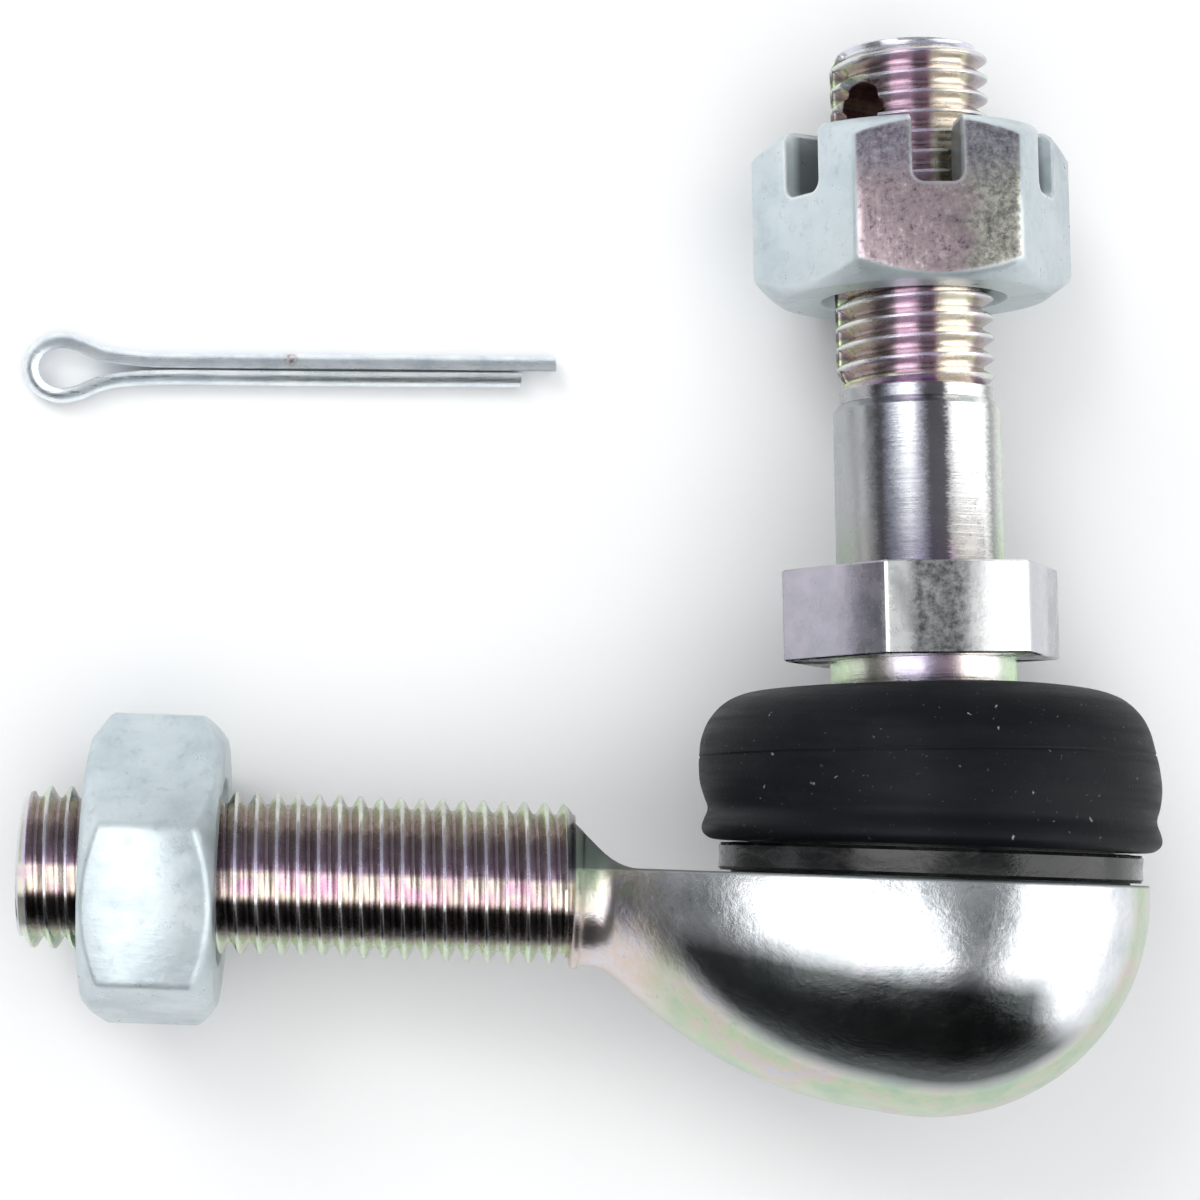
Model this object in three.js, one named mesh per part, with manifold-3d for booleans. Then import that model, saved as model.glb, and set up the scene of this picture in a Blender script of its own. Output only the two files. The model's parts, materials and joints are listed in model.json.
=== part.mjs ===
// A ball-joint tie rod end with its castle nut, jam nut and cotter pin, lying on a bench. Millimetres, +Z up.
//
// The joint is drawn in its own frame: the origin is the ball's centre, the stud points along +Y and the threaded
// shank along -X. The last section leans it until it rests on its boot and both nuts, with the bench at Z = 0 and
// the origin at the centre of the footprint.
import * as THREE from "three";
import { mergeVertices } from "three/addons/utils/BufferGeometryUtils.js";
import Module from "manifold-3d";

const wasm = await Module();
wasm.setup();

// ---- Driving dimensions ----
const THREAD_RADIUS = 4.92; // M10 x 1.25, major radius
const NUT_BORE_RADIUS = 5.22;
const THREAD_CHAMFER = 0.9;
const RUN_OUT_RADIUS = 4.6; // plain neck at the inner end of each thread

const BALL_RADIUS = 8;
const NECK_RADIUS = 4.5;
const COLLAR_RADIUS = 5.75; // round land under the stud's hexagon
const HEX_FLATS = 15.3;
const HEX_BOTTOM = 14.5;
const HEX_TOP = 20.1;
const HEX_TURN = 8.3; // degrees from -X towards +Z to the first corner
const STUD_RADIUS = 5.2;
const STUD_PLAIN_TOP = 30.3;
const STUD_THREAD_START = 31.4;
const STUD_END = 52.6;
const COTTER_HOLE_RADIUS = 1.6;
const COTTER_HOLE_HEIGHT = 48.5;
const COTTER_HOLE_TURN = 52; // degrees from +Z towards -X

const BOWL_RADIUS = 13.4; // outside of the housing round the ball
const FACE_HEIGHT = 1.1; // flat face that the boot sits on
const RIM_RADIUS = 12.2;
const RIM_TOP = 5.6;
const RIM_LIP_RADIUS = 9; // crimped over the retaining ring
const POCKET_RADIUS = 9.8;
const POCKET_TOP = 5.15;
const GROOVE_RADIUS = 11.2;
const GROOVE_BOTTOM = 2.95;
const GROOVE_TOP = 4.15;
const SHANK_END = 55.2;
const SHANK_THREAD_START = 22;
const SHANK_NECK_START = 20.4;

const SEAT_RADIUS = 9.68;
const BALL_CLEARANCE = 0.12;
const UPPER_SEAT_TOP = 3.7;
const RETAINER_BOTTOM = 3.85;
const RETAINER_TOP = 5;
const RETAINER_BORE = 7.3;

const BOOT_RADIUS = 14.2;
const BOOT_TOP = 12.8;
const BOOT_BEND_START = 4.5; // below this the boot stays with the housing
const BOOT_BEND_END = 10; // above this it follows the stud
const SEAL_RING_RADIUS = 7.5;
const SEAL_RING_BORE = 6;
const SEAL_RING_BOTTOM = 11.7;
const SEAL_RING_TOP = 12.4;
const BASE_RING_BORE = 12.4;
const BASE_RING_RADIUS = 13;
const BASE_RING_TOP = 2.9;

const NUT_CORNER_CHAMFER = 1.2;
const NUT_FACE_INSET = 0.4; // from the flats in to the bearing face
const CASTLE_NUT_FLATS = 17.5;
const CASTLE_NUT_BOTTOM = 36.9;
const CASTLE_NUT_HEIGHT = 10;
const CASTLE_NUT_TURN = 3; // the same measure as the hexagon
const SLOT_WIDTH = 3.2;
const SLOT_DEPTH = 4.2;
const JAM_NUT_FLATS = 17;
const JAM_NUT_INNER_FACE = 43.2; // distance from the ball's centre along -X
const JAM_NUT_HEIGHT = 8;
const JAM_NUT_TURN = 15; // degrees from +Y towards +Z to the first corner

const PIN_LEG_RADIUS = 0.95; // each leg is a half round, flat side inwards
const PIN_EYE_RADIUS = 1.25; // to the flat side, at the middle of the eye
const PIN_EYE_LENGTH = 8;
const PIN_LENGTH = 33.5;
const PIN_SHORTER_LEG = 2.2;
const PIN_LEG_GAP = 0.08;
const PIN_EYE_X = -56.3; // the eye's end, from the ball's centre
const PIN_Y = 28.9;
const PIN_TURN = 2.8; // degrees about Z

const STUD_SWING = 3; // degrees about the ball, away from square to the shank and towards it

const STUD_LEAN = 7.303; // degrees below level, until the castle nut rests on the bench
const SHANK_LEAN = 7.009; // the same for the jam nut

const ROUND_SEGMENTS = 40;
const SEAT_SEGMENTS = 28;
const HEX_SIDES = 6;

// ---- Helpers ----
const radians = THREE.MathUtils.degToRad;

// Points on a circular arc, from one angle to another in degrees, as [radius, height] pairs.
function arc(cx, cy, r, from, to, steps) {
  const points = [];
  for (let i = 0; i <= steps; i++) {
    const a = radians(from + ((to - from) * i) / steps);
    points.push([Math.max(0, cx + r * Math.cos(a)), cy + r * Math.sin(a)]);
  }
  return points;
}

// A solid of revolution about Y. The profile runs from low to high on its outside.
function turned(profile, segments = ROUND_SEGMENTS) {
  const points = profile.map(([r, y]) => new THREE.Vector2(r, y));
  return new THREE.LatheGeometry(points, segments);
}

// A ring of revolution: its section is closed back to the first point.
function turnedRing(section, segments = ROUND_SEGMENTS) {
  return turned([...section, section[0]], segments);
}

// A cylinder about Y between two heights.
function rod(radius, bottom, top, segments = ROUND_SEGMENTS) {
  const shape = new THREE.CylinderGeometry(radius, radius, top - bottom, segments);
  return shape.translate(0, (bottom + top) / 2, 0);
}

// A hexagonal prism about Y. Its first corner is `turn` degrees from -X towards +Z.
function hexagon(flats, bottom, top, turn) {
  const corner = flats / 2 / Math.cos(Math.PI / HEX_SIDES);
  const shape = new THREE.CylinderGeometry(corner, corner, top - bottom, HEX_SIDES);
  shape.rotateY(radians(turn - 90));
  return shape.translate(0, (bottom + top) / 2, 0);
}

function box(width, height, depth, x, y, z) {
  return new THREE.BoxGeometry(width, height, depth).translate(x, y, z);
}

function solid(geometry) {
  const bare = geometry.clone();
  bare.deleteAttribute("normal");
  bare.deleteAttribute("uv");
  const merged = mergeVertices(bare, 1e-4);
  const mesh = new wasm.Mesh({
    numProp: 3,
    vertProperties: Float32Array.from(merged.attributes.position.array),
    triVerts: Uint32Array.from(merged.index.array),
  });
  return new wasm.Manifold(mesh);
}

function geometryOf(manifold) {
  const mesh = manifold.getMesh();
  const geometry = new THREE.BufferGeometry();
  geometry.setAttribute("position", new THREE.BufferAttribute(mesh.vertProperties, 3));
  geometry.setIndex(new THREE.BufferAttribute(mesh.triVerts, 1));
  return geometry;
}

const materials = {
  forging: new THREE.MeshStandardMaterial({ color: 0xa9adb0, roughness: 0.28, metalness: 1 }),
  zinc: new THREE.MeshStandardMaterial({ color: 0xc9d3d8, roughness: 0.3, metalness: 1 }),
  polymer: new THREE.MeshStandardMaterial({ color: 0xe9e6dc, roughness: 0.55, metalness: 0 }),
  rubber: new THREE.MeshStandardMaterial({ color: 0x17191c, roughness: 0.6, metalness: 0 }),
};

// Turns each point about the ball by the stud's swing, eased in from the boot's foot to its mouth.
function bendWithStud(geometry) {
  const position = geometry.attributes.position;
  const point = new THREE.Vector3();
  const axis = new THREE.Vector3(0, 0, 1);
  for (let i = 0; i < position.count; i++) {
    point.fromBufferAttribute(position, i);
    const share = THREE.MathUtils.smoothstep(point.y, BOOT_BEND_START, BOOT_BEND_END);
    point.applyAxisAngle(axis, share * radians(STUD_SWING));
    position.setXYZ(i, point.x, point.y, point.z);
  }
  return geometry;
}

function part(name, geometry, material) {
  const mesh = new THREE.Mesh(geometry, material);
  mesh.name = name;
  return mesh;
}

// ---- Housing: an egg-shaped forging cut flat on top, with a turned rim, a ball pocket and the shank ----
function housing() {
  // Outline of the egg round the shank's axis, as [radius, distance from the ball's centre].
  const egg = [
    [0, -BOWL_RADIUS],
    ...arc(0, 0, BOWL_RADIUS, -90, 8, 14).slice(1),
    [12.75, 6.2],
    [11.6, 9.7],
    [9.9, 13.3],
    [7.7, 16.6],
    [6.0, 18.7],
    [RUN_OUT_RADIUS, SHANK_NECK_START],
    [RUN_OUT_RADIUS, SHANK_THREAD_START - 0.5],
    [THREAD_RADIUS, SHANK_THREAD_START],
    [THREAD_RADIUS, SHANK_END - THREAD_CHAMFER],
    [THREAD_RADIUS - THREAD_CHAMFER, SHANK_END],
    [0, SHANK_END],
  ];
  const forged = solid(turned(egg).rotateZ(Math.PI / 2));

  // The top of the egg is machined away down to the flat face, as far as the slope up to the shank.
  const slopeFoot = -19.4;
  const slopeHead = -22.6;
  const reach = 30;
  const above = new THREE.Shape([
    new THREE.Vector2(slopeFoot, FACE_HEIGHT),
    new THREE.Vector2(reach, FACE_HEIGHT),
    new THREE.Vector2(reach, reach),
    new THREE.Vector2(slopeHead, reach),
    new THREE.Vector2(slopeHead, FACE_HEIGHT + slopeFoot - slopeHead),
  ]);
  const milled = new THREE.ExtrudeGeometry(above, { depth: 2 * reach, bevelEnabled: false });
  milled.translate(0, 0, -reach);

  const rim = turned([
    [0, FACE_HEIGHT - 2],
    [RIM_RADIUS, FACE_HEIGHT - 2],
    [RIM_RADIUS, GROOVE_BOTTOM],
    [GROOVE_RADIUS, GROOVE_BOTTOM],
    [GROOVE_RADIUS, GROOVE_TOP],
    [RIM_RADIUS, GROOVE_TOP],
    [RIM_RADIUS, RIM_TOP - 0.5],
    [RIM_RADIUS - 0.5, RIM_TOP],
    [0, RIM_TOP],
  ]);
  const pocket = turned([
    ...arc(0, 0, POCKET_RADIUS, -90, 0, 10),
    [POCKET_RADIUS, POCKET_TOP],
    [RIM_LIP_RADIUS, POCKET_TOP],
    [RIM_LIP_RADIUS, RIM_TOP + 1],
    [0, RIM_TOP + 1],
  ]);
  const body = forged.subtract(solid(milled)).add(solid(rim)).subtract(solid(pocket));
  return part("housing", geometryOf(body), materials.forging);
}

// ---- Bearing: two moulded seats under and over the ball, held down by a crimped steel ring ----
function lowerSeat() {
  const inner = BALL_RADIUS + BALL_CLEARANCE;
  const cup = [
    ...arc(0, 0, SEAT_RADIUS, -90, -2, 10),
    ...arc(0, 0, inner, -2, -90, 10),
  ];
  return part("lower_ball_seat", turned(cup, SEAT_SEGMENTS), materials.polymer);
}

function upperSeat() {
  const inner = BALL_RADIUS + BALL_CLEARANCE;
  const topAngle = THREE.MathUtils.radToDeg(Math.asin(UPPER_SEAT_TOP / inner));
  const section = [
    [SEAT_RADIUS, 0.1],
    [SEAT_RADIUS, UPPER_SEAT_TOP],
    ...arc(0, 0, inner, topAngle, 1, 5),
  ];
  return part("upper_ball_seat", turnedRing(section, SEAT_SEGMENTS), materials.polymer);
}

function retainingRing() {
  const section = [
    [SEAT_RADIUS, RETAINER_BOTTOM],
    [SEAT_RADIUS, RETAINER_TOP],
    [RETAINER_BORE + 0.3, RETAINER_TOP],
    [RETAINER_BORE, RETAINER_BOTTOM],
  ];
  return part("retaining_ring", turnedRing(section), materials.zinc);
}

// ---- Ball stud: ball, waisted neck, hexagon, plain shank and drilled thread in one piece ----
function ballStud() {
  const neckAngle = THREE.MathUtils.radToDeg(Math.acos(NECK_RADIUS / BALL_RADIUS));
  const profile = [
    ...arc(0, 0, BALL_RADIUS, -90, neckAngle, 16),
    [NECK_RADIUS, 8],
    [COLLAR_RADIUS, 11],
    [COLLAR_RADIUS, HEX_BOTTOM],
    [STUD_RADIUS, HEX_BOTTOM + 0.5],
    [STUD_RADIUS, STUD_PLAIN_TOP - 0.4],
    [STUD_RADIUS - 0.4, STUD_PLAIN_TOP],
    [RUN_OUT_RADIUS, STUD_PLAIN_TOP + 0.3],
    [RUN_OUT_RADIUS, STUD_THREAD_START - 0.3],
    [THREAD_RADIUS, STUD_THREAD_START],
    [THREAD_RADIUS, STUD_END - THREAD_CHAMFER],
    [THREAD_RADIUS - THREAD_CHAMFER, STUD_END],
    [0, STUD_END],
  ];
  const hex = hexagon(HEX_FLATS, HEX_BOTTOM, HEX_TOP, HEX_TURN);
  const drill = rod(COTTER_HOLE_RADIUS, -10, 10, 16);
  drill.rotateX(Math.PI / 2);
  drill.rotateY(radians(-COTTER_HOLE_TURN));
  drill.translate(0, COTTER_HOLE_HEIGHT, 0);
  const body = solid(turned(profile)).add(solid(hex)).subtract(solid(drill));
  return part("ball_stud", geometryOf(body), materials.forging);
}

// ---- Dust boot, the band under its foot and the ring in its mouth ----
function dustBoot() {
  const section = [
    [GROOVE_RADIUS + 0.15, GROOVE_BOTTOM + 0.15],
    [13.2, GROOVE_BOTTOM + 0.1],
    [13.95, 3.45],
    [14.1, 4],
    [14, 4.7],
    [BOOT_RADIUS, 6.2],
    [14.1, 8.3],
    [13.8, 10],
    [12.9, 11.7],
    [11.3, 12.65],
    [9.6, BOOT_TOP],
    [8.2, 12.3],
    [7.7, 11.6],
    [6.05, 11.55],
    [6.05, 10.3],
    [9.6, 10.7],
    [11.5, 10.05],
    [12.4, 8.5],
    [12.6, 6.4],
    [12.35, GROOVE_TOP - 0.15],
    [GROOVE_RADIUS + 0.15, GROOVE_TOP - 0.15],
  ];
  return part("dust_boot", bendWithStud(turnedRing(section)), materials.rubber);
}

function bootBaseRing() {
  const section = [
    [BASE_RING_BORE, FACE_HEIGHT + 0.12],
    [BASE_RING_RADIUS, FACE_HEIGHT + 0.12],
    [BASE_RING_RADIUS, BASE_RING_TOP],
    [BASE_RING_BORE, BASE_RING_TOP],
  ];
  return part("boot_base_ring", turnedRing(section), materials.zinc);
}

function bootSealRing() {
  const section = [
    [SEAL_RING_BORE, SEAL_RING_BOTTOM],
    [SEAL_RING_RADIUS, SEAL_RING_BOTTOM],
    [SEAL_RING_RADIUS, SEAL_RING_TOP],
    [SEAL_RING_BORE, SEAL_RING_TOP],
  ];
  return part("boot_seal_ring", turnedRing(section), materials.zinc);
}

// ---- Nuts ----
// A hexagon about Y with its corners turned off at both ends, bored through.
function nutBlank(flats, height, turn) {
  const corner = flats / 2 / Math.cos(Math.PI / HEX_SIDES);
  const faceRadius = flats / 2 - NUT_FACE_INSET;
  const envelope = turned([
    [0, 0],
    [faceRadius, 0],
    [corner + 0.02, NUT_CORNER_CHAMFER],
    [corner + 0.02, height - NUT_CORNER_CHAMFER],
    [faceRadius, height],
    [0, height],
  ]);
  const countersink = turned([
    [0, -1],
    [NUT_BORE_RADIUS + 1.5, -1],
    [NUT_BORE_RADIUS, 0.5],
    [NUT_BORE_RADIUS, height - 0.5],
    [NUT_BORE_RADIUS + 1.5, height + 1],
    [0, height + 1],
  ]);
  return solid(hexagon(flats, 0, height, turn)).intersect(solid(envelope)).subtract(solid(countersink));
}

function castleNut() {
  let nut = nutBlank(CASTLE_NUT_FLATS, CASTLE_NUT_HEIGHT, CASTLE_NUT_TURN);
  const slotTop = CASTLE_NUT_HEIGHT + 1;
  const slotBottom = CASTLE_NUT_HEIGHT - SLOT_DEPTH;
  for (let i = 0; i < HEX_SIDES / 2; i++) {
    const slot = box(30, slotTop - slotBottom, SLOT_WIDTH, 0, (slotTop + slotBottom) / 2, 0);
    slot.rotateY(radians(CASTLE_NUT_TURN + 30 + 60 * i));
    nut = nut.subtract(solid(slot));
  }
  const geometry = geometryOf(nut).translate(0, CASTLE_NUT_BOTTOM, 0);
  return part("castle_nut", geometry, materials.zinc);
}

function jamNut() {
  const nut = geometryOf(nutBlank(JAM_NUT_FLATS, JAM_NUT_HEIGHT, -JAM_NUT_TURN));
  // The quarter turn lays the nut's axis along -X.
  nut.translate(0, JAM_NUT_INNER_FACE, 0).rotateZ(Math.PI / 2);
  return part("jam_nut", nut, materials.zinc);
}

// ---- Cotter pin: half-round wire bent round an eye, one leg longer, from the eye's end along +X ----
function cotterPin() {
  const eye = PIN_LEG_RADIUS + PIN_EYE_RADIUS;
  const point = (x, y) => new THREE.Vector3(x, y, PIN_LEG_RADIUS);
  const upper = [
    [eye, PIN_EYE_RADIUS],
    [eye + 1.7, 0.62 * PIN_EYE_RADIUS],
    [eye + 2.9, 0.3 * PIN_EYE_RADIUS],
    [PIN_EYE_LENGTH, PIN_LEG_GAP],
    [PIN_EYE_LENGTH + 14, PIN_LEG_GAP],
    [PIN_LENGTH, PIN_LEG_GAP],
  ];
  const shorten = (x) => Math.min(x, PIN_LENGTH - PIN_SHORTER_LEG);
  const lower = upper.map(([x, y]) => point(shorten(x), -y)).reverse();
  const path = new THREE.CatmullRomCurve3([
    ...lower,
    point(PIN_LEG_RADIUS, 0),
    ...upper.map(([x, y]) => point(x, y)),
  ]);
  const section = new THREE.Shape();
  section.absarc(0, 0, PIN_LEG_RADIUS, 0, Math.PI, false);
  const bent = new THREE.ExtrudeGeometry(section, {
    extrudePath: path,
    steps: 56,
    curveSegments: 6,
    bevelEnabled: false,
  });
  return part("cotter_pin", bent, materials.zinc);
}

// ---- Assembly ----
function swungStud() {
  const stud = new THREE.Group();
  stud.add(ballStud(), castleNut(), bootSealRing());
  stud.rotation.z = radians(STUD_SWING);
  return stud;
}

function ballJoint() {
  const joint = new THREE.Group();
  joint.add(housing(), lowerSeat(), upperSeat(), retainingRing());
  joint.add(dustBoot(), bootBaseRing(), jamNut(), swungStud());
  joint.rotation.set(-radians(STUD_LEAN), -radians(SHANK_LEAN), 0);
  return joint;
}

const joint = ballJoint();
joint.position.z = -new THREE.Box3().setFromObject(joint, true).min.z;

const pin = cotterPin();
pin.rotation.z = radians(PIN_TURN);
pin.position.set(PIN_EYE_X, PIN_Y, 0);

const tieRodEnd = new THREE.Group();
tieRodEnd.add(joint, pin);
const footprint = new THREE.Box3().setFromObject(tieRodEnd, true).getCenter(new THREE.Vector3());
tieRodEnd.children.forEach((piece) => {
  piece.position.x -= footprint.x;
  piece.position.y -= footprint.y;
});
export default tieRodEnd;
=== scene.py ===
"""A ball-joint tie rod end with its nuts and cotter pin, lying on a pale bench under soft studio light.

The detailed pieces are drawn in millimetres in the joint's own frame: the origin is the ball's centre, the
stud points along +Y and the threaded shank along -X. place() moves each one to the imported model's frame.
"""
import json
import math

import bmesh
import bpy
from mathutils import Euler, Matrix, Vector, noise


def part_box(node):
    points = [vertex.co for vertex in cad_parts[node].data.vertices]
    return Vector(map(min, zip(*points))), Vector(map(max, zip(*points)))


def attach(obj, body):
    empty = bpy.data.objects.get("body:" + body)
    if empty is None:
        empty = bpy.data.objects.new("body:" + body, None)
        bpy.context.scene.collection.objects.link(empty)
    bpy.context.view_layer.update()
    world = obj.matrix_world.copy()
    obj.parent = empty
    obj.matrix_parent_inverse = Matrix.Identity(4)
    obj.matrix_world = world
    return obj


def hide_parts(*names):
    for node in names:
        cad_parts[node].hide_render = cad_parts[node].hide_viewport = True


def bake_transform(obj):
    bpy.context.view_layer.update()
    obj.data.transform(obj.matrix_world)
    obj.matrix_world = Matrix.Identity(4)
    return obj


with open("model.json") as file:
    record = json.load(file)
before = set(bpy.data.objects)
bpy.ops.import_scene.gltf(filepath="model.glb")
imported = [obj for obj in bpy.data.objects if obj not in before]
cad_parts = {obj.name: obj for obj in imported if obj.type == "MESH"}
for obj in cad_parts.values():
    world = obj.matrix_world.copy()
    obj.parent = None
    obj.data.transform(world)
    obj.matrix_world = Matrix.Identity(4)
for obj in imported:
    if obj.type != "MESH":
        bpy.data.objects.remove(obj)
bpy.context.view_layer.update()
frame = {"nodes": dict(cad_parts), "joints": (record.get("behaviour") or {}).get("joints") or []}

MM = 0.001

# ---- Dimensions in mm, in the joint's frame ----
THREAD_RADIUS = 4.92
THREAD_PITCH = 1.25
THREAD_DEPTH = 0.7
THREAD_CORE = THREAD_RADIUS - THREAD_DEPTH
NUT_BORE_RADIUS = 5.1

BALL_RADIUS = 8
NECK_RADIUS = 4.5
LAND_RADIUS = 5.75
HEX_FLATS = 15.3
HEX_BOTTOM = 14.5
HEX_TOP = 20.1
HEX_TURN = 8.3
HEX_CROWN = 0.035  # fall of each flat per mm squared from its middle
HEX_CORNER_ROUND = 0.2
HEX_EDGE = 0.1
STUD_RADIUS = 5.2
STUD_PLAIN_TOP = 30.3
STUD_THREAD_START = 31.3
STUD_END = 52.55
RELIEF_RADIUS = 4.75
COTTER_HOLE_RADIUS = 1.6
COTTER_HOLE_HEIGHT = 48.5
COTTER_HOLE_TURN = 52
COUNTERSINK = 0.4

BOWL_RADIUS = 13.39
FACE_HEIGHT = 1.1
RIM_RADIUS = 12.2
RIM_TOP = 5.6
RIM_LIP_RADIUS = 9
POCKET_RADIUS = 9.8
POCKET_TOP = 5.15
GROOVE_RADIUS = 11.2
GROOVE_BOTTOM = 2.95
GROOVE_TOP = 4.15
SHANK_END = 55.2
SHANK_THREAD_START = 22
SHANK_NECK_START = 20.4
SLOPE_FOOT = -19.4
SLOPE_HEAD = -22.6
SLOPE_BLEND = 1.2  # half the length of the curve between the flat face and its slope
CUTTER_REACH = 30

BOOT_RADIUS = 14.15
BOOT_BEND_START = 4.5  # below this the boot stays with the housing
BOOT_BEND_END = 10  # above this it follows the stud
BOOT_SAG = 0.45  # the mouth is pressed down on the side away from the shank
BOOT_WAVE = 0.05
BOOT_RIPPLE = 0.012
SEAL_RING_RADIUS = 7.5
SEAL_RING_BORE = 6
SEAL_RING_BOTTOM = 11.7
SEAL_RING_TOP = 12.4
BASE_RING_BORE = 12.4
BASE_RING_RADIUS = 12.98
BASE_RING_TOP = 2.9
RING_EDGE = 0.12

NUT_FACE_INSET = 0.42
NUT_CHAMFER = 1.2
NUT_CORNER_ROUND = 0.7
NUT_EDGE_ROUND = 0.16
NUT_COUNTERSINK = 0.7
CASTLE_NUT_FLATS = 17.5
CASTLE_NUT_BOTTOM = 36.9
CASTLE_NUT_HEIGHT = 10
CASTLE_NUT_TURN = 3
SLOT_WIDTH = 3.2
SLOT_DEPTH = 4.2
SLOT_CORNER = 0.75
JAM_NUT_FLATS = 17
JAM_NUT_INNER_FACE = 43.2
JAM_NUT_HEIGHT = 8
JAM_NUT_TURN = 15

PIN_LEG_RADIUS = 0.95
PIN_EYE_RADIUS = 1.25
PIN_LENGTH = 33.45
PIN_SHORTER_LEG = 2.2
PIN_LEG_GAP = 0.05
PIN_TURN = 2.8

# ---- The joint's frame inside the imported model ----
joints = {joint["name"]: joint for joint in frame["joints"]}
ball_centre = Vector(joints["ball_swing"]["pos_m"])
face_axis = Vector(joints["ball_swing"]["axis"]).normalized()


def frame_along(up_axis):
    """The frame at the ball's centre whose +Y is the given axis, in mm."""
    along = Vector(up_axis).normalized()
    turn = Matrix((along.cross(face_axis), along, face_axis)).transposed()
    return Matrix.Translation(ball_centre) @ turn.to_4x4() @ Matrix.Scale(MM, 4)


HOUSING_FRAME = frame_along(joints["swing_direction"]["axis"])
STUD_FRAME = frame_along(joints["stud_spin"]["axis"])  # swung a little towards the shank
STUD_SWING = Vector(joints["stud_spin"]["axis"]).angle(Vector(joints["swing_direction"]["axis"]))

# Quarter turn that lays a piece drawn along +Y along -X.
ALONG_SHANK = Matrix.Rotation(math.pi / 2, 4, "Z")


# ---- Camera, in mm and in the joint's frame ----
CAMERA_LENS = 103.1
CAMERA_SENSOR = 36
CAMERA_EYE = Vector((-30.0, 1.2, 210.5))
CAMERA_BACK = Vector((-0.0435, -0.077, 0.9961)).normalized()
CAMERA_UP = Vector((-0.0376, 0.9964, 0.0754))


# ---- Mesh building ----
WELD_DISTANCE = 2e-4


def arc(cx, cy, radius, start, end, steps):
    """Points on a circular arc, in degrees, as (radius, height) pairs."""
    points = []
    for i in range(steps + 1):
        angle = math.radians(start + (end - start) * i / steps)
        points.append((max(0.0, cx + radius * math.cos(angle)), cy + radius * math.sin(angle)))
    return points


def between(a, b, c, d, t):
    """The Catmull-Rom value a share t of the way from b to c."""
    square = (2 * a - 5 * b + 4 * c - d) * t * t
    cube = (3 * b - a - 3 * c + d) * t ** 3
    return 0.5 * (2 * b + (c - a) * t + square + cube)


def smooth_line(points, steps):
    """A smooth curve through the points, with the given number of steps between neighbours."""
    out = []
    last = len(points) - 1
    for i in range(last):
        near = (points[max(i - 1, 0)], points[i], points[i + 1], points[min(i + 2, last)])
        for k in range(steps):
            out.append(tuple(between(*values, k / steps) for values in zip(*near)))
    out.append(tuple(points[last]))
    return out


def round_angles(count=96):
    return [2 * math.pi * i / count for i in range(count)]


def hex_angles(turn):
    """Angles with samples on the rounded corners and along the flats of a hexagon."""
    steps = (-30, -29.6, -29.2, -28.4, -27.5, -24, -18, -12, -6, 0, 6, 12, 18, 24, 27.5, 28.4, 29.2, 29.6)
    return [math.radians(turn + 30 + 60 * side + step) for side in range(6) for step in steps]


def hex_radius(angle, flats, turn, corner_round):
    """Distance from the axis to a hexagon with rounded corners."""
    from_flat = (math.degrees(angle) - turn) % 60 - 30
    flat = flats / 2 / math.cos(math.radians(from_flat))
    centre = (flats / 2 - corner_round) / math.cos(math.radians(30))
    from_corner = math.radians(30 - abs(from_flat))
    inside = corner_round ** 2 - (centre * math.sin(from_corner)) ** 2
    if inside < 0:
        return flat
    return min(flat, centre * math.cos(from_corner) + math.sqrt(inside))


class Shell:
    """A surface wound round +Y. Angles are measured from -X towards +Z."""

    def __init__(self, angles):
        self.angles = angles
        self.points = []
        self.faces = []

    def _row(self, profile_point):
        row = []
        for angle in self.angles:
            r, y = profile_point(angle) if callable(profile_point) else profile_point
            row.append(len(self.points))
            self.points.append((-r * math.cos(angle), y, r * math.sin(angle)))
        return row

    def wind(self, profile, closed=False):
        """Rows from (radius, height) pairs, or functions of the angle that give one."""
        rows = [self._row(point) for point in profile]
        if closed:
            rows.append(rows[0])
        self._join(rows, 0)
        return self

    def thread(self, low, high):
        """A helical thread from low to high, with chamfered ends down to its core."""
        middle = (THREAD_RADIUS + THREAD_CORE) / 2
        ease = 0.05
        crest_to_root = (
            (0.0, THREAD_RADIUS),
            (0.06, THREAD_RADIUS),
            (0.1, THREAD_RADIUS - ease),
            (0.24, middle),
            (0.38, THREAD_CORE + ease),
            (0.44, THREAD_CORE),
        )
        root_to_crest = tuple((1 - phase, radius) for phase, radius in crest_to_root[:0:-1])
        ridge = crest_to_root + ((0.5, THREAD_CORE),) + root_to_crest
        turns = math.ceil((high - low) / THREAD_PITCH) + 2
        rows = []
        for k in range(turns):
            for phase, radius in ridge:
                rows.append(self._row(self._thread_point(low, high, k + phase, radius)))
        self._join(rows, len(ridge))
        return self

    @staticmethod
    def _thread_point(low, high, turn, radius):
        def point(angle):
            lead = (angle / (2 * math.pi)) % 1
            y = min(max(low + (turn - 1 + lead) * THREAD_PITCH, low), high)
            return min(radius, THREAD_CORE + (y - low), THREAD_CORE + (high - y)), y
        return point

    def _join(self, rows, seam_shift):
        count = len(self.angles)
        for j in range(len(rows) - 1):
            for i in range(count):
                last = i == count - 1
                n = 0 if last else i + 1
                a = min(j + seam_shift, len(rows) - 1) if last else j
                b = min(j + 1 + seam_shift, len(rows) - 1) if last else j + 1
                self.faces.append((rows[j][i], rows[a][n], rows[b][n], rows[j + 1][i]))

    def build(self, name):
        return make_object(name, self.points, self.faces)


def make_object(name, points, faces):
    mesh = bpy.data.meshes.new(name)
    mesh.from_pydata([tuple(p) for p in points], [], faces)
    clean(mesh)
    piece = bpy.data.objects.new(name, mesh)
    bpy.context.scene.collection.objects.link(piece)
    return piece


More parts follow.
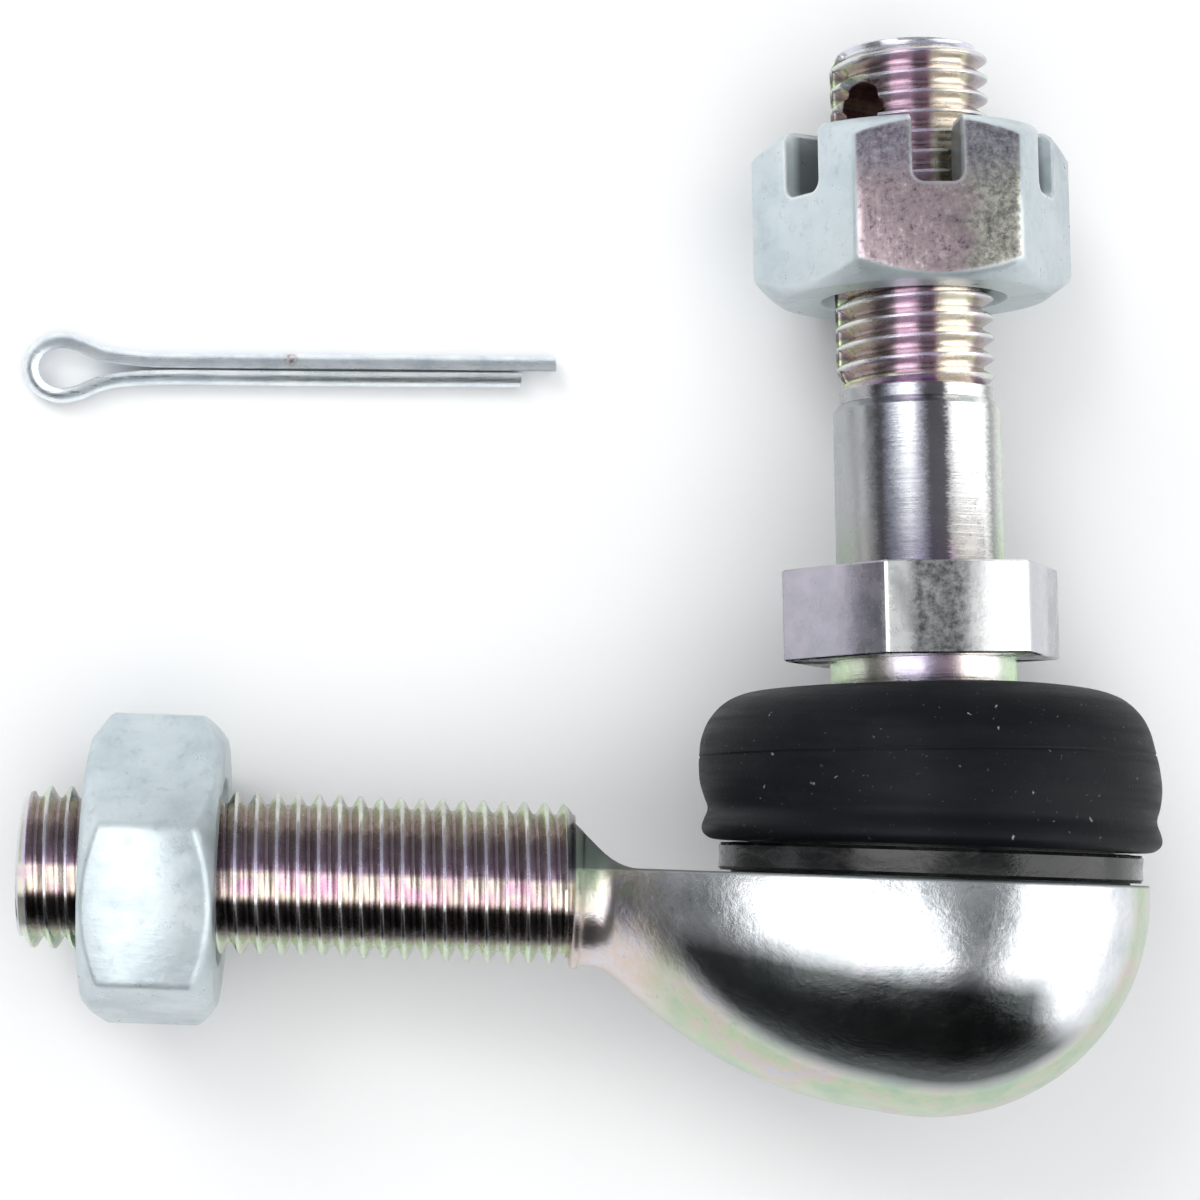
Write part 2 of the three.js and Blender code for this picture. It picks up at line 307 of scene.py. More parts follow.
def clean(mesh):
    bm = bmesh.new()
    bm.from_mesh(mesh)
    bmesh.ops.remove_doubles(bm, verts=bm.verts, dist=WELD_DISTANCE)
    bmesh.ops.dissolve_degenerate(bm, edges=bm.edges, dist=WELD_DISTANCE)
    bmesh.ops.recalc_face_normals(bm, faces=bm.faces)
    bm.to_mesh(mesh)
    bm.free()


def prism(name, outline, depth):
    """A closed prism: an outline in XY, extruded both ways along Z."""
    count = len(outline)
    points = [(x, y, -depth) for x, y in outline] + [(x, y, depth) for x, y in outline]
    faces = [tuple(range(count)), tuple(range(2 * count - 1, count - 1, -1))]
    faces += [(i, i + count, (i + 1) % count + count, (i + 1) % count) for i in range(count)]
    return make_object(name, points, faces)


def apply_modifiers(piece):
    depsgraph = bpy.context.evaluated_depsgraph_get()
    evaluated = piece.evaluated_get(depsgraph)
    mesh = bpy.data.meshes.new_from_object(evaluated)
    piece.modifiers.clear()
    old = piece.data
    piece.data = mesh
    bpy.data.meshes.remove(old)


def cut(piece, tool, operation="DIFFERENCE"):
    """Joins or removes the tool's solid, and deletes the tool."""
    boolean = piece.modifiers.new("cut", "BOOLEAN")
    boolean.operation = operation
    boolean.solver = "EXACT"
    boolean.object = tool
    apply_modifiers(piece)
    mesh = tool.data
    bpy.data.objects.remove(tool)
    bpy.data.meshes.remove(mesh)


def shade(piece, sharp_angle=32):
    mesh = piece.data
    mesh.polygons.foreach_set("use_smooth", [True] * len(mesh.polygons))
    mesh.set_sharp_from_angle(angle=math.radians(sharp_angle))


def place(piece, body, nodes, material, matrix=HOUSING_FRAME, sharp_angle=32):
    """Keeps each point's place in mm for the materials, then puts the piece on its body."""
    shade(piece, sharp_angle)
    rest = piece.data.attributes.new("rest", "FLOAT_VECTOR", "POINT")
    rest.data.foreach_set("vector", [c for v in piece.data.vertices for c in v.co])
    piece.data.materials.clear()
    piece.data.materials.append(material)
    piece.data.transform(matrix)
    if body is not None:
        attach(piece, body)
    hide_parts(*nodes)
    return piece


# ---- Materials ----
class Material:
    """A Principled material with short calls for the nodes that vary it. Lengths are in mm."""

    def __init__(self, name, colour, roughness, metallic=0.0):
        self.material = bpy.data.materials.new(name)
        self.material.use_nodes = True
        self.tree = self.material.node_tree
        self.shader = self.tree.nodes["Principled BSDF"]
        self.shader.inputs["Base Color"].default_value = (*colour, 1)
        self.shader.inputs["Roughness"].default_value = roughness
        self.shader.inputs["Metallic"].default_value = metallic
        self.place = self.node("ShaderNodeAttribute", attribute_name="rest").outputs["Vector"]

    def place_by_object(self):
        """For pieces without a rest attribute: the place is the object's own coordinates, in mm."""
        scaled = self.node("ShaderNodeVectorMath", operation="SCALE")
        self.feed(scaled.inputs[0], self.node("ShaderNodeTexCoord").outputs["Object"])
        scaled.inputs["Scale"].default_value = 1 / MM
        self.place = scaled.outputs[0]

    def node(self, kind, **settings):
        node = self.tree.nodes.new(kind)
        for key, value in settings.items():
            setattr(node, key, value)
        return node

    def feed(self, socket, value):
        if isinstance(value, bpy.types.NodeSocket):
            self.tree.links.new(value, socket)
        else:
            socket.default_value = value

    def math(self, operation, a, b=0.0, c=0.0, clamp=False):
        node = self.node("ShaderNodeMath", operation=operation, use_clamp=clamp)
        for socket, value in zip(node.inputs, (a, b, c)):
            self.feed(socket, value)
        return node.outputs[0]

    def stretch(self, scale, turn=(0, 0, 0)):
        """The place, turned and scaled along each axis."""
        node = self.node("ShaderNodeMapping")
        self.feed(node.inputs["Vector"], self.place)
        node.inputs["Scale"].default_value = scale
        node.inputs["Rotation"].default_value = turn
        return node.outputs[0]

    def noise(self, size, detail=4.0, roughness=0.5, vector=None, distortion=0.0):
        """Noise whose features are about size mm across."""
        node = self.node("ShaderNodeTexNoise")
        self.feed(node.inputs["Vector"], self.place if vector is None else vector)
        node.inputs["Scale"].default_value = 1 / size
        node.inputs["Detail"].default_value = detail
        node.inputs["Roughness"].default_value = roughness
        node.inputs["Distortion"].default_value = distortion
        return node.outputs["Fac"]

    def cells(self, size, feature="F1", vector=None):
        node = self.node("ShaderNodeTexVoronoi", feature=feature)
        self.feed(node.inputs["Vector"], self.place if vector is None else vector)
        node.inputs["Scale"].default_value = 1 / size
        return node.outputs["Distance"]

    def remap(self, value, low, high, to_low=0.0, to_high=1.0):
        node = self.node("ShaderNodeMapRange")
        self.feed(node.inputs["Value"], value)
        for name, number in (("From Min", low), ("From Max", high), ("To Min", to_low), ("To Max", to_high)):
            node.inputs[name].default_value = number
        return node.outputs[0]

    def ramp(self, value, stops):
        """A colour ramp of (position, colour) stops."""
        node = self.node("ShaderNodeValToRGB")
        self.feed(node.inputs[0], value)
        elements = node.color_ramp.elements
        while len(elements) < len(stops):
            elements.new(0.5)
        for element, (position, colour) in zip(elements, stops):
            element.position = position
            element.color = (*colour, 1)
        return node.outputs[0]

    def mix(self, factor, a, b, blend="MIX"):
        node = self.node("ShaderNodeMix", data_type="RGBA", blend_type=blend)
        self.feed(node.inputs["Factor"], factor)
        for socket, value in ((node.inputs[6], a), (node.inputs[7], b)):
            self.feed(socket, (*value, 1) if isinstance(value, tuple) else value)
        return node.outputs[2]

    def split(self):
        node = self.node("ShaderNodeSeparateXYZ")
        self.feed(node.inputs[0], self.place)
        return node.outputs

    def distance(self, first, second):
        squares = self.math("ADD", self.math("MULTIPLY", first, first), self.math("MULTIPLY", second, second))
        return self.math("SQRT", squares)

    def bump(self, height, depth, below=None):
        """A bump of about depth mm. below is the normal of a coarser bump."""
        node = self.node("ShaderNodeBump")
        node.inputs["Distance"].default_value = depth * MM
        self.feed(node.inputs["Height"], height)
        if below is not None:
            self.feed(node.inputs["Normal"], below)
        return node.outputs[0]

    def soft_edges(self, radius):
        """A normal that rounds sharp edges by radius mm."""
        node = self.node("ShaderNodeBevel", samples=4)
        node.inputs["Radius"].default_value = radius * MM
        return node.outputs[0]

    def edges(self, radius):
        """1 along sharp edges and 0 elsewhere."""
        turned = self.node("ShaderNodeVectorMath", operation="DOT_PRODUCT")
        self.feed(turned.inputs[0], self.soft_edges(radius))
        self.feed(turned.inputs[1], self.node("ShaderNodeNewGeometry").outputs["Normal"])
        return self.remap(turned.outputs["Value"], 0.997, 0.95)

    def surface(self, colour=None, roughness=None, normal=None):
        for name, value in (("Base Color", colour), ("Roughness", roughness), ("Normal", normal)):
            if value is not None:
                self.feed(self.shader.inputs[name], value)
        return self.material


BRIGHT_ZINC = (0.80, 0.81, 0.84)
NUT_ZINC = (0.80, 0.85, 0.88)
EDGE_HIGHLIGHT_AND_WEAR = (0.95, 0.98, 1.0)
WHITE = (1.0, 1.0, 1.0)
NUT_METALLIC = 0.55  # satin zinc shows some matt colour as well as reflections

# Tints of the yellow passivation across the width of a turned piece as it lies, with painted reflections in
# them: the pink and cream stops are a painted highlight and the green ends a painted reflection of the bench.
PLATING_TINTS_AND_REFLECTIONS = (
    (0.0, (0.62, 0.80, 0.50)),
    (0.16, (0.80, 0.76, 0.66)),
    (0.32, (0.55, 0.50, 0.62)),
    (0.46, (0.66, 0.56, 0.78)),
    (0.58, (0.90, 0.62, 0.80)),
    (0.68, (1.0, 0.92, 0.80)),
    (0.84, (0.78, 0.74, 0.72)),
    (1.0, (0.52, 0.80, 0.42)),
)

# Painted reflections along the stud's plain shank: bright and dark bands across its width.
SHANK_REFLECTION_BANDS = (
    (0.0, (0.40, 0.41, 0.43)),
    (0.18, (0.42, 0.42, 0.44)),
    (0.22, (0.16, 0.15, 0.17)),
    (0.27, (0.42, 0.44, 0.52)),
    (0.38, (0.96, 0.98, 1.0)),
    (0.44, (0.70, 0.70, 0.78)),
    (0.50, (0.20, 0.20, 0.22)),
    (0.59, (0.24, 0.24, 0.26)),
    (0.62, WHITE),
    (0.84, WHITE),
    (0.89, (0.34, 0.34, 0.35)),
    (0.95, (0.72, 0.74, 0.70)),
    (1.0, (0.76, 0.84, 0.70)),
)

# Colours over one pitch of a thread: crest, outer flank, root, inner flank and crest again. The pale crest is
# a painted highlight, the dark root painted shade, and the green and violet flanks painted reflections over
# the passivation tint.
THREAD_LIGHT_AND_TINTS = (
    (0.0, (0.86, 0.84, 0.92)),
    (0.07, (0.86, 0.84, 0.92)),
    (0.12, (0.76, 0.82, 0.60)),
    (0.36, (0.68, 0.68, 0.56)),
    (0.5, (0.34, 0.28, 0.29)),
    (0.62, (0.48, 0.37, 0.44)),
    (0.86, (0.60, 0.50, 0.62)),
    (0.93, (0.86, 0.84, 0.92)),
)


def turned_marks(m, ring_scale):
    """Ring-shaped tool marks, fine grain and softened edges: the roughness and the normal."""
    rings = m.noise(10, 6, 0.7, m.stretch(ring_scale))
    normal = m.bump(rings, 0.014, m.soft_edges(0.08))
    normal = m.bump(m.noise(0.35, 4, 0.6), 0.006, normal)
    rough = m.remap(m.noise(1.4, 4, 0.6), 0.3, 0.7, 0.17, 0.34)
    return rough, normal


def thread_light_and_tints(m, along, up, across, start):
    """Painted light and tints that follow the helix. The helix starts at -across and winds towards up."""
    turn = m.math("DIVIDE", m.math("ARCTAN2", up, across), 2 * math.pi)
    turns = m.math("DIVIDE", m.math("SUBTRACT", along, start), THREAD_PITCH)
    phase = m.math("FRACT", m.math("SUBTRACT", turns, turn))
    return m.ramp(phase, THREAD_LIGHT_AND_TINTS)


def tints_and_reflections_across(m, across, radius, cloud_share=0.18):
    """Passivation tints and painted reflections by place across a piece of the given radius, broken up by
    noise.
    """
    share = m.remap(across, -radius, radius)
    cloud = m.math("MULTIPLY", m.math("SUBTRACT", m.noise(2.5, 4, 0.6), 0.5), cloud_share)
    return m.ramp(m.math("ADD", share, cloud), PLATING_TINTS_AND_REFLECTIONS)


def band_mask(m, value, low, high, soft=0.35):
    """1 between low and high, fading to 0 over soft mm outside them."""
    rise = m.remap(value, low - soft, low)
    return m.math("MULTIPLY", rise, m.remap(value, high + soft, high))


def shank_thread_material():
    """Rainbow plating with a painted highlight stripe below the middle, a painted dark reflection under it
    and a painted green reflection of the bench at the lower edge.
    """
    m = Material("shank_plating", BRIGHT_ZINC, 0.25, metallic=1.0)
    x, y, z = m.split()
    outward = m.math("MULTIPLY", x, -1.0)
    down = m.math("MULTIPLY", y, -1.0)
    colour = thread_light_and_tints(m, outward, z, down, SHANK_THREAD_START - 0.1)
    colour = m.mix(0.65, colour, tints_and_reflections_across(m, down, THREAD_RADIUS), "MULTIPLY")
    blotch = m.ramp(m.noise(2.2, 5, 0.65), ((0.3, (0.72, 0.70, 0.70)), (0.6, WHITE)))
    colour = m.mix(1.0, colour, blotch, "MULTIPLY")
    # A painted highlight below the middle, a painted dark reflection under it and a painted green reflection
    # of the bench at the lower edge.
    painted_highlight = m.ramp(m.noise(1.3, 3, 0.5), ((0.4, (1.0, 0.74, 0.88)), (0.55, (1.0, 0.95, 0.84))))
    colour = m.mix(m.math("MULTIPLY", band_mask(m, y, -1.35, 0.0), 0.65), colour, painted_highlight)
    colour = m.mix(m.math("MULTIPLY", band_mask(m, y, -3.4, -1.9), 0.8), colour, (0.05, 0.05, 0.055))
    colour = m.mix(m.math("MULTIPLY", m.remap(y, -3.7, -4.1), 0.7), colour, (0.66, 0.76, 0.56))
    colour = m.mix(m.remap(outward, SHANK_END - 0.2, SHANK_END - 0.1), colour, (0.70, 0.71, 0.74))
    rough, normal = turned_marks(m, (30, 0.6, 0.6))
    return m.surface(colour, rough, normal)


def hexagon_crown(m, x, y, z):
    """Height in mm of each of the hexagon's flats, which are slightly crowned."""
    mm_per_degree = math.radians(1) * HEX_FLATS / 2
    angle = m.math("MULTIPLY", m.math("ARCTAN2", z, m.math("MULTIPLY", x, -1.0)), 180 / math.pi)
    side = m.math("FLOORED_MODULO", m.math("SUBTRACT", angle, HEX_TURN), 60.0)
    from_middle = m.math("MULTIPLY", m.math("SUBTRACT", side, 30.0), mm_per_degree)
    crown = m.math("MULTIPLY", m.math("MULTIPLY", from_middle, from_middle), -HEX_CROWN)
    return m.math("MULTIPLY", crown, band_mask(m, y, HEX_BOTTOM, HEX_TOP, 0.01))


def plain_shank_colour(m, x, y, tints, grain):
    """Painted bright and dark reflection bands, tinted near the hexagon."""
    ragged = m.math("MULTIPLY", m.math("SUBTRACT", m.noise(0.4, 5, 0.75, m.stretch((1, 3, 1))), 0.5), 0.12)
    colour = m.ramp(m.math("ADD", m.remap(x, -STUD_RADIUS, STUD_RADIUS), ragged), SHANK_REFLECTION_BANDS)
    near_hexagon = m.remap(y, HEX_TOP + 4, HEX_TOP, 0.12, 0.75)
    colour = m.mix(near_hexagon, colour, m.mix(1.0, colour, tints, "MULTIPLY"))
    return m.mix(m.remap(grain, 0.42, 0.3, 0.0, 0.5), colour, (0.3, 0.3, 0.32))


def hexagon_light_and_shade(m, x, grain):
    """Painted light and shade on the flats: a shaded lavender flat, a lit pale one, darker and speckled at
    its middle, and a greyer one.
    """
    lavender = m.ramp(m.noise(2.6, 5, 0.65), ((0.35, (0.38, 0.38, 0.43)), (0.65, (0.50, 0.46, 0.54))))
    pale = m.ramp(m.noise(2.0, 5, 0.65), ((0.35, (0.86, 0.88, 0.88)), (0.65, WHITE)))
    pale = m.mix(m.remap(x, 5.4, 5.8), pale, (0.58, 0.58, 0.62))
    colour = m.mix(m.remap(x, -3.6, -3.2), lavender, pale)
    at_middle = m.remap(m.math("ABSOLUTE", x), 2.0, 1.3)
    dark_middle = m.math("MULTIPLY", at_middle, m.remap(grain, 0.36, 0.6, 0.95, 0.35))
    return m.mix(dark_middle, colour, (0.16, 0.155, 0.16))


def stud_thread_colour(m, x, y, z, tints):
    """Rainbow plating with a painted cream highlight right of the middle and a painted pink highlight left of
    it.
    """
    colour = thread_light_and_tints(m, y, z, m.math("MULTIPLY", x, -1.0), STUD_THREAD_START)
    colour = m.mix(0.6, colour, tints, "MULTIPLY")
    # Painted highlights: a cream one right of the middle and a pink one left of it.
    colour = m.mix(m.math("MULTIPLY", band_mask(m, x, 0.9, 3.0), 0.8), colour, (1.0, 0.93, 0.82))
    return m.mix(m.math("MULTIPLY", band_mask(m, x, -1.6, -0.5), 0.5), colour, (0.95, 0.72, 0.86))


def cotter_hole_mask(m, x, y, z):
    """1 in the cotter hole and 0 outside it."""
    turn = math.radians(COTTER_HOLE_TURN)
    sideways = m.math("ADD", m.math("MULTIPLY", x, math.cos(turn)), m.math("MULTIPLY", z, math.sin(turn)))
    from_hole = m.distance(sideways, m.math("SUBTRACT", y, COTTER_HOLE_HEIGHT))
    return m.remap(from_hole, COTTER_HOLE_RADIUS + 0.1, COTTER_HOLE_RADIUS - 0.02)


def stud_material():
    """The stud: bright plating with painted reflections on its shank and painted light on its hexagon,
    rainbow low on the shank and in the thread, and a rusty cotter hole.
    """
    m = Material("stud_plating", BRIGHT_ZINC, 0.25, metallic=1.0)
    x, y, z = m.split()
    tints = tints_and_reflections_across(m, x, STUD_RADIUS)
    grain = m.noise(0.5, 5, 0.75)
    land = m.mix(0.85, BRIGHT_ZINC, tints)
    end_face = m.mix(0.6, BRIGHT_ZINC, (0.74, 0.74, 0.86))
    colour = m.mix(m.math("GREATER_THAN", y, HEX_BOTTOM - 0.01), land, hexagon_light_and_shade(m, x, grain))
    colour = m.mix(m.math("GREATER_THAN", y, HEX_TOP), colour, plain_shank_colour(m, x, y, tints, grain))
    in_thread = m.math("GREATER_THAN", y, STUD_THREAD_START - 0.1)
    colour = m.mix(in_thread, colour, stud_thread_colour(m, x, y, z, tints))
    colour = m.mix(m.remap(y, STUD_END - 0.7, STUD_END - 0.5), colour, end_face)

    in_hole = cotter_hole_mask(m, x, y, z)
    rust = m.ramp(m.noise(0.7, 5, 0.7), ((0.35, (0.06, 0.018, 0.02)), (0.7, (0.24, 0.10, 0.06))))
    colour = m.mix(in_hole, colour, rust)
    rough, normal = turned_marks(m, (0.6, 30, 0.6))
    normal = m.bump(hexagon_crown(m, x, y, z), 1.0, normal)
    rough = m.math("ADD", rough, m.math("MULTIPLY", in_hole, 0.3), clamp=True)
    return m.surface(colour, rough, normal)


def painted_dark_reflection(m, x, y, z, wave):
    """A painted dark reflection low on the bowl: it starts higher towards the shank and lower at the far
    side.
    """
    rise = m.math("MULTIPLY", m.math("MINIMUM", x, 0.0), 0.135)
    height = m.math("ADD", m.math("ADD", y, rise), wave)
    low_down = m.math("MULTIPLY", m.remap(height, -3.8, -5.6), m.remap(z, 6.7, 8.0))
    far_side = m.math("MULTIPLY", m.remap(x, 4.6, 6.8), m.remap(y, -8.6, -7.0))
    return m.math("MULTIPLY", m.math("MULTIPLY", low_down, m.math("SUBTRACT", 1.0, far_side)), 0.92)


def housing_material():
    """Bright plating on a grainy forging: green at its outline, partly a painted sheen; pink at the neck; a
    painted dark reflection low on the bowl and on the milled face.
    """
    m = Material("forging_plating", (0.72, 0.73, 0.74), 0.2, metallic=1.0)
    x, y, z = m.split()
    cloud = m.noise(6, 4, 0.55)
    patches = m.noise(3.2, 5, 0.65)
    body = m.ramp(patches, (
        (0.35, (0.62, 0.66, 0.69)),
        (0.6, BRIGHT_ZINC),
        (0.75, (0.74, 0.74, 0.84)),
    ))
    green = m.ramp(patches, (
        (0.35, (0.34, 0.49, 0.34)),
        (0.50, (0.46, 0.54, 0.37)),
        (0.60, (0.56, 0.48, 0.42)),
        (0.70, (0.48, 0.49, 0.58)),
    ))
    wave = m.math("MULTIPLY", m.math("SUBTRACT", cloud, 0.5), 1.5)
    # Green at the outline: passivation tint, placed as a painted iridescent sheen where the bowl turns away.
    outline = m.math("MULTIPLY", m.remap(z, 8.0, 6.4, 0.0, 0.95), m.remap(z, -8.0, -3.0))
    colour = m.mix(outline, body, green)
    colour = m.mix(painted_dark_reflection(m, x, y, z, wave), colour, (0.045, 0.055, 0.052))
    neck = m.math("MULTIPLY", m.remap(x, -15.2, -18.2, 0.0, 0.8), m.remap(y, 1.2, -2.5))
    colour = m.mix(neck, colour, m.ramp(patches, ((0.4, (0.74, 0.55, 0.50)), (0.6, (0.70, 0.66, 0.74)))))
    grain = m.noise(0.45, 5, 0.75)
    colour = m.mix(m.remap(grain, 0.58, 0.7, 0.0, 0.55), colour, (0.30, 0.30, 0.29))
    on_face = m.remap(y, FACE_HEIGHT - 0.2, FACE_HEIGHT - 0.05)
    # The milled face is painted dark: a painted dark reflection.
    colour = m.mix(m.math("MULTIPLY", on_face, 0.85), colour, (0.13, 0.15, 0.15))
    rough = m.remap(m.noise(2.5, 5, 0.6), 0.3, 0.7, 0.15, 0.27)
    rough = m.math("ADD", rough, m.math("MULTIPLY", on_face, 0.22), clamp=True)
    normal = m.bump(cloud, 0.08, m.soft_edges(0.3))
    normal = m.bump(grain, 0.02, normal)
    scratch = m.noise(1.6, 6, 0.75, m.stretch((0.35, 2.6, 2.6), (0.3, 0.2, 0.9)))
    normal = m.bump(scratch, 0.006, normal)
    return m.surface(colour, rough, normal)


def satin_zinc(m):
    """Pale bluish zinc with faint smudges, and edges painted near white: a painted highlight with some wear.
    """
    base = m.ramp(m.noise(4.5, 4, 0.6), (
        (0.34, (0.50, 0.58, 0.62)),
        (0.5, (0.61, 0.69, 0.72)),
        (0.68, (0.68, 0.75, 0.78)),
    ))
    smudge = m.remap(m.noise(0.9, 6, 0.75), 0.54, 0.74, 0.0, 0.6)
    zinc = m.mix(smudge, base, (0.34, 0.40, 0.46))
    # Edges painted near white: a painted highlight with some wear.
    return m.mix(m.edges(0.35), zinc, EDGE_HIGHLIGHT_AND_WEAR)


def nut_normal(m, streak_scale):
    streaks = m.noise(1.1, 6, 0.7, m.stretch(streak_scale, (0, 0, 0.3)))
    normal = m.bump(streaks, 0.014, m.soft_edges(0.25))
    return m.bump(m.noise(0.4, 5, 0.7), 0.014, normal)


def nut_roughness(m):
    return m.remap(m.noise(1.2, 5, 0.65), 0.3, 0.7, 0.26, 0.42)


def jam_nut_material():
    m = Material("jam_nut_zinc", NUT_ZINC, 0.34, metallic=NUT_METALLIC)
    return m.surface(satin_zinc(m), nut_roughness(m), nut_normal(m, (0.4, 3.0, 3.0)))


def worn_flat_colour(m, x, y, slot_floor):
    """Mottled brown, olive towards the right and violet between the slots, with edges painted near white: a
    painted highlight with some wear.
    """
    brown = m.ramp(m.noise(0.5, 6, 0.8), (
        (0.34, (0.16, 0.14, 0.17)),
        (0.45, (0.52, 0.41, 0.45)),
        (0.6, (0.66, 0.54, 0.57)),
        (0.68, (0.95, 0.93, 0.93)),
    ))
    olive = m.ramp(m.noise(0.45, 6, 0.8), ((0.4, (0.26, 0.26, 0.25)), (0.6, (0.76, 0.75, 0.66))))
    violet = m.ramp(m.noise(0.4, 6, 0.8), ((0.4, (0.15, 0.14, 0.22)), (0.62, (0.68, 0.66, 0.76))))
    drift = m.math("MULTIPLY", m.math("SUBTRACT", m.noise(3.0, 4, 0.6), 0.5), 6.0)
    colour = m.mix(m.remap(m.math("ADD", x, drift), 1.6, 3.4), brown, olive)
    height = m.math("ADD", y, drift)
    colour = m.mix(m.remap(height, slot_floor, slot_floor + 2.0, 0.0, 0.7), colour, violet)
    # Edges painted near white: a painted highlight with some wear.
    return m.mix(m.edges(0.4), colour, EDGE_HIGHLIGHT_AND_WEAR)


def castle_nut_material():
    """Pale zinc, with one flat where the plating has worn to a mottled, scratched brown and grey, and painted
    shade inside the slots.
    """
    m = Material("castle_nut_zinc", NUT_ZINC, 0.34, metallic=NUT_METALLIC)
    x, y, z = m.split()
    turn = math.radians(CASTLE_NUT_TURN)
    outward = m.math("ADD", m.math("MULTIPLY", x, math.sin(turn)), m.math("MULTIPLY", z, math.cos(turn)))
    on_flat = m.remap(outward, CASTLE_NUT_FLATS / 2 - 0.12, CASTLE_NUT_FLATS / 2 - 0.04)
    nut_top = CASTLE_NUT_BOTTOM + CASTLE_NUT_HEIGHT
    slot_floor = nut_top - SLOT_DEPTH
    colour = m.mix(on_flat, satin_zinc(m), worn_flat_colour(m, x, y, slot_floor))
    inside = m.remap(m.distance(x, z), 8.3, 7.7)
    # Painted shade inside the slots.
    slot_shade = m.math("MULTIPLY", inside, band_mask(m, y, slot_floor + 0.2, nut_top - 0.3, 0.1))
    colour = m.mix(m.math("MULTIPLY", slot_shade, 0.8), colour, (0.10, 0.12, 0.12))
    m.feed(m.shader.inputs["Metallic"], m.remap(on_flat, 0.0, 1.0, NUT_METALLIC, 1.0))
    return m.surface(colour, nut_roughness(m), nut_normal(m, (3.0, 0.5, 3.0)))


def wire_material():
    m = Material("pin_plating", (0.66, 0.70, 0.75), 0.3, metallic=1.0)
    drawn = m.noise(1.2, 6, 0.7, m.stretch((0.25, 5, 5)))
    colour = m.ramp(m.noise(2.0, 5, 0.65), (
        (0.3, (0.66, 0.72, 0.78)),
        (0.55, (0.86, 0.92, 0.97)),
        (0.75, (0.94, 0.96, 0.98)),
    ))
    x, y, _ = m.split()
    spot = m.distance(m.math("SUBTRACT", x, 16.6), m.math("SUBTRACT", y, 0.7))
    rust = m.math("MULTIPLY", m.remap(spot, 0.55, 0.1), m.remap(m.noise(0.3, 4), 0.35, 0.6))
    colour = m.mix(rust, colour, (0.30, 0.14, 0.07))
    rough = m.remap(drawn, 0.3, 0.7, 0.22, 0.42)
    normal = m.bump(drawn, 0.02, m.soft_edges(0.12))
    return m.surface(colour, rough, normal)


def rubber_material():
    """Black moulded rubber with a grey bloom, rubbed bands and specks of dust."""
    m = Material("boot_rubber", (0.02, 0.022, 0.025), 0.55)
    m.shader.inputs["Specular IOR Level"].default_value = 0.16
    bloom = m.noise(7, 5, 0.6)
    bands = m.noise(5, 5, 0.65, m.stretch((0.35, 6, 0.35)))
    tone = m.math("ADD", m.math("MULTIPLY", bloom, 0.6), m.math("MULTIPLY", bands, 0.4))
    colour = m.ramp(tone, (
        (0.32, (0.0018, 0.0022, 0.0032)),
        (0.52, (0.0034, 0.0042, 0.006)),
        (0.72, (0.009, 0.011, 0.015)),
    ))
    uneven = m.node("ShaderNodeVectorMath", operation="ADD")
    m.feed(uneven.inputs[0], m.place)
    wobble = m.node("ShaderNodeTexNoise")
    m.feed(wobble.inputs["Vector"], m.place)
    wobble.inputs["Scale"].default_value = 1.6
    m.feed(uneven.inputs[1], wobble.outputs["Color"])
    specks = m.cells(1.55, vector=uneven.outputs[0])
    chosen = m.remap(m.noise(1.1, 2, 0.5), 0.44, 0.56)
    dust = m.math("MULTIPLY", m.remap(specks, 0.085, 0.045), chosen, clamp=True)
    fine = m.remap(m.noise(0.28, 2, 0.5), 0.7, 0.8, 0.0, 0.35)
    colour = m.mix(m.math("MAXIMUM", dust, fine), colour, (0.30, 0.30, 0.29))
    rough = m.remap(bands, 0.3, 0.7, 0.42, 0.62)
    rough = m.math("ADD", rough, m.math("MULTIPLY", dust, 0.3), clamp=True)
    normal = m.bump(bands, 0.03)
    normal = m.bump(m.noise(0.3, 4, 0.6), 0.02, normal)
    normal = m.bump(dust, 0.05, normal)
    return m.surface(colour, rough, normal)


def greasy_band_material():
    """A dark steel band with smears of grease."""
    m = Material("band_grease", (0.03, 0.03, 0.03), 0.2)
    smear = m.noise(2.4, 5, 0.7, m.stretch((1, 2.5, 1)), distortion=0.8)
    colour = m.ramp(smear, (
        (0.35, (0.003, 0.003, 0.004)),
        (0.62, (0.012, 0.012, 0.012)),
        (0.8, (0.07, 0.06, 0.055)),
    ))
    rough = m.remap(smear, 0.35, 0.7, 0.1, 0.4)
    m.shader.inputs["Coat Weight"].default_value = 0.25
    m.shader.inputs["Coat Roughness"].default_value = 0.12
    return m.surface(colour, rough, m.bump(smear, 0.08))


def pale_ring_material():
    m = Material("ring_plating", (0.74, 0.75, 0.68), 0.3, metallic=0.85)
    colour = m.ramp(m.noise(1.5, 4, 0.6), ((0.3, (0.62, 0.64, 0.54)), (0.7, (0.82, 0.82, 0.76))))
    return m.surface(colour, m.remap(m.noise(0.6, 4), 0.3, 0.7, 0.25, 0.45), m.bump(m.noise(0.4, 4), 0.01))


def seat_material():
    m = Material("seat_polymer", (0.84, 0.82, 0.76), 0.5)
    m.place_by_object()
    colour = m.ramp(m.noise(3, 4), ((0.3, (0.78, 0.75, 0.67)), (0.7, (0.88, 0.86, 0.80))))
    return m.surface(colour, m.remap(m.noise(1, 4), 0.3, 0.7, 0.4, 0.6), m.bump(m.noise(0.5, 4), 0.02))


def bench_material():
    m = Material("bench_paper", (0.96, 0.965, 0.97), 0.75)
    m.shader.inputs["Specular IOR Level"].default_value = 0
    m.place_by_object()
    return m.surface(m.ramp(m.noise(50, 3), ((0.3, (0.955, 0.96, 0.965)), (0.7, (0.97, 0.975, 0.98)))))


